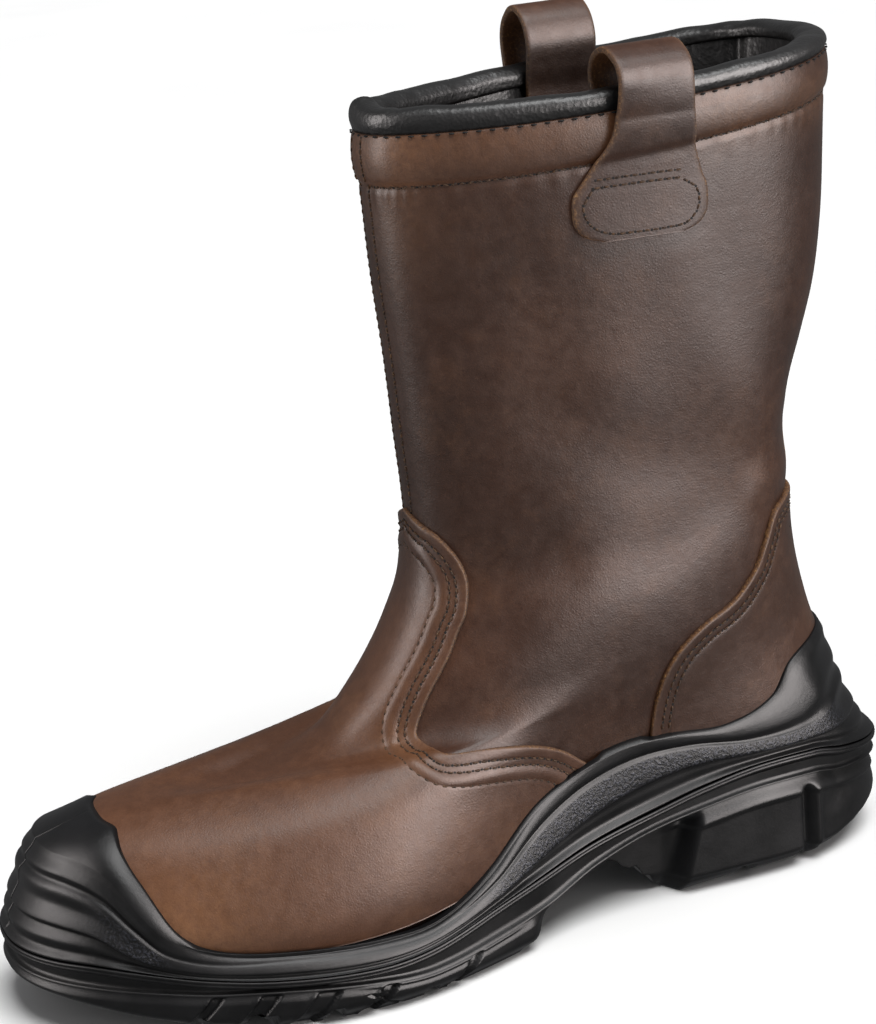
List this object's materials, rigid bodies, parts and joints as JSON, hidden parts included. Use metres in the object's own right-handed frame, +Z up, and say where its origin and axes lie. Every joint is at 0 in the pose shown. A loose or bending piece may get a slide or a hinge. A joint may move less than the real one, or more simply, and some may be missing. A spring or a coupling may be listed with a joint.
{
  "type": "pull-on safety boot",
  "caption": "Pull-on leather work boot with a wide shaft, padded rolled collar, two pull loops and a black moulded sole with toe bumper, raised heel cup and cleated tread.",
  "frame": {"origin": "on the floor under the middle of the heel", "axes": "+Z up, -Y towards the toe, +X towards the outer side of the left foot"},
  "size_m": [0.1086, 0.316, 0.2971],
  "materials": {
    "shaft_leather": "waxed brown full-grain leather with a soft sheen",
    "vamp_leather": "waxed brown full-grain leather, warmer and rubbed at the toe",
    "sole_polyurethane": "moulded black polyurethane, satin",
    "sole_rubber": "moulded black polyurethane tread, satin",
    "insole_felt": "dark felted insole, matt",
    "collar_binding": "soft black padded leather roll",
    "collar_lining": "soft black padded lining with fine grain"
  },
  "bodies": {
    "root": {"upper": "shaft_leather", "vamp": "vamp_leather", "heel_counter": "shaft_leather", "backstay": "shaft_leather", "midsole": "sole_polyurethane", "outsole": "sole_rubber", "insole": "insole_felt", "collar_binding": "collar_binding", "collar_lining": "collar_lining", "pull_loop_outer": "shaft_leather", "pull_loop_inner": "shaft_leather"}
  },
  "joints": []
}
